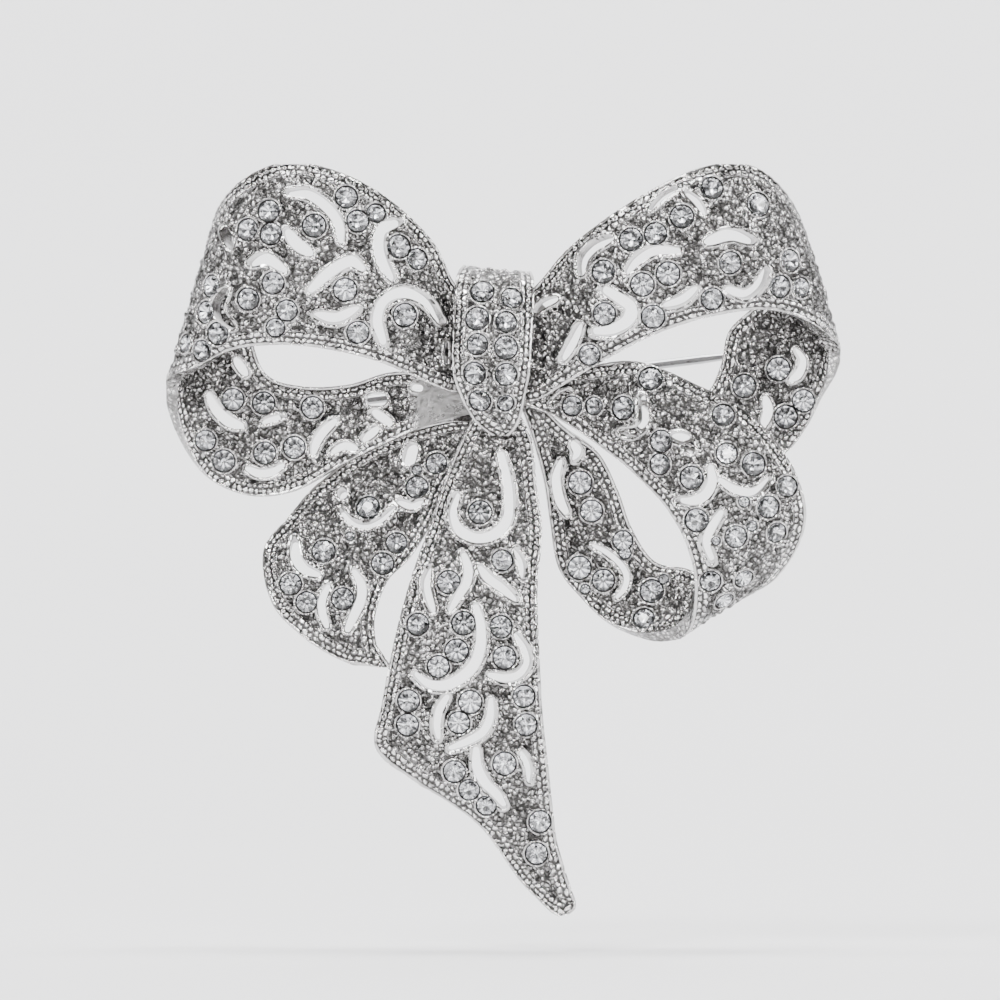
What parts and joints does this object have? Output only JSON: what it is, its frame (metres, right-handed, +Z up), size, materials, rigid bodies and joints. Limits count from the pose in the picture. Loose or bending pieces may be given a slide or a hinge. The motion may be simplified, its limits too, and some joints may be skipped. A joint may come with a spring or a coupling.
{
  "type": "ribbon bow brooch",
  "caption": "Openwork ribbon-bow brooch in cast bright metal with round clear stones, a knot band, a hinged pin stem and a roll-over safety catch.",
  "frame": {"origin": "on the axis of the pin stem, straight behind the knot, where the cloth that holds the brooch passes", "axes": "+Z up along the bow's height, +Y to the rear towards the wearer, +X to the right as seen from the front"},
  "size_m": [0.0592, 0.0186, 0.066],
  "materials": {
    "upper_left_loop": "bright plated cast white metal, granulated ground",
    "upper_right_loop": "bright plated cast white metal, granulated ground",
    "lower_right_loop": "bright plated cast white metal, granulated ground",
    "lower_left_tail": "bright plated cast white metal, granulated ground",
    "centre_tail": "bright plated cast white metal, granulated ground",
    "knot_band": "bright plated cast white metal, granulated ground",
    "solder_core": "plated white metal, satin",
    "hinge_bracket": "bright plated",
    "hinge_rivet": "bright plated",
    "catch_body": "bright plated",
    "pin_stem": "polished wire",
    "catch_rotor": "bright plated",
    "stone_01": "clear cut glass, foil backed",
    "stone_02": "clear cut glass, foil backed",
    "stone_03": "clear cut glass, foil backed",
    "stone_04": "clear cut glass, foil backed",
    "stone_05": "clear cut glass, foil backed",
    "stone_06": "clear cut glass, foil backed",
    "stone_07": "clear cut glass, foil backed",
    "stone_08": "clear cut glass, foil backed",
    "stone_09": "clear cut glass, foil backed",
    "stone_10": "clear cut glass, foil backed",
    "stone_11": "clear cut glass, foil backed",
    "stone_12": "clear cut glass, foil backed",
    "stone_13": "clear cut glass, foil backed",
    "stone_14": "clear cut glass, foil backed",
    "stone_15": "clear cut glass, foil backed",
    "stone_16": "clear cut glass, foil backed",
    "stone_17": "clear cut glass, foil backed",
    "stone_18": "clear cut glass, foil backed",
    "stone_19": "clear cut glass, foil backed",
    "stone_20": "clear cut glass, foil backed",
    "stone_21": "clear cut glass, foil backed",
    "stone_22": "clear cut glass, foil backed",
    "stone_23": "clear cut glass, foil backed",
    "stone_24": "clear cut glass, foil backed",
    "stone_25": "clear cut glass, foil backed",
    "stone_26": "clear cut glass, foil backed",
    "stone_27": "clear cut glass, foil backed",
    "stone_28": "clear cut glass, foil backed",
    "stone_29": "clear cut glass, foil backed",
    "stone_30": "clear cut glass, foil backed",
    "stone_31": "clear cut glass, foil backed",
    "stone_32": "clear cut glass, foil backed",
    "stone_33": "clear cut glass, foil backed",
    "stone_34": "clear cut glass, foil backed",
    "stone_35": "clear cut glass, foil backed",
    "stone_36": "clear cut glass, foil backed",
    "stone_37": "clear cut glass, foil backed",
    "stone_38": "clear cut glass, foil backed",
    "stone_39": "clear cut glass, foil backed",
    "stone_40": "clear cut glass, foil backed",
    "stone_41": "clear cut glass, foil backed",
    "stone_42": "clear cut glass, foil backed",
    "stone_43": "clear cut glass, foil backed",
    "stone_44": "clear cut glass, foil backed",
    "stone_45": "clear cut glass, foil backed",
    "stone_46": "clear cut glass, foil backed"
  },
  "bodies": {
    "bow": {"upper_left_loop": "upper_left_loop", "upper_right_loop": "upper_right_loop", "lower_right_loop": "lower_right_loop", "lower_left_tail": "lower_left_tail", "centre_tail": "centre_tail", "knot_band": "knot_band", "solder_core": "solder_core", "hinge_bracket": "hinge_bracket", "hinge_rivet": "hinge_rivet", "catch_body": "catch_body", "stone_01": "stone_01", "stone_02": "stone_02", "stone_03": "stone_03", "stone_04": "stone_04", "stone_05": "stone_05", "stone_06": "stone_06", "stone_07": "stone_07", "stone_08": "stone_08", "stone_09": "stone_09", "stone_10": "stone_10", "stone_11": "stone_11", "stone_12": "stone_12", "stone_13": "stone_13", "stone_14": "stone_14", "stone_15": "stone_15", "stone_16": "stone_16", "stone_17": "stone_17", "stone_18": "stone_18", "stone_19": "stone_19", "stone_20": "stone_20", "stone_21": "stone_21", "stone_22": "stone_22", "stone_23": "stone_23", "stone_24": "stone_24", "stone_25": "stone_25", "stone_26": "stone_26", "stone_27": "stone_27", "stone_28": "stone_28", "stone_29": "stone_29", "stone_30": "stone_30", "stone_31": "stone_31", "stone_32": "stone_32", "stone_33": "stone_33", "stone_34": "stone_34", "stone_35": "stone_35", "stone_36": "stone_36", "stone_37": "stone_37", "stone_38": "stone_38", "stone_39": "stone_39", "stone_40": "stone_40", "stone_41": "stone_41", "stone_42": "stone_42", "stone_43": "stone_43", "stone_44": "stone_44", "stone_45": "stone_45", "stone_46": "stone_46"},
    "pin": {"pin_stem": "pin_stem"},
    "rotor": {"catch_rotor": "catch_rotor"}
  },
  "joints": [
    {"name": "pin_hinge", "type": "hinge", "parent": "bow", "child": "pin", "pos_m": [-0.018, 0, -0.0022], "axis": [-0.1211, 0, 0.9926], "range_deg": [0, 95]},
    {"name": "catch_turn", "type": "hinge", "parent": "bow", "child": "rotor", "pos_m": [0.0223, 0, 0.00272], "axis": [0.9926, 0, 0.1211], "range_deg": [0, 110]}
  ]
}
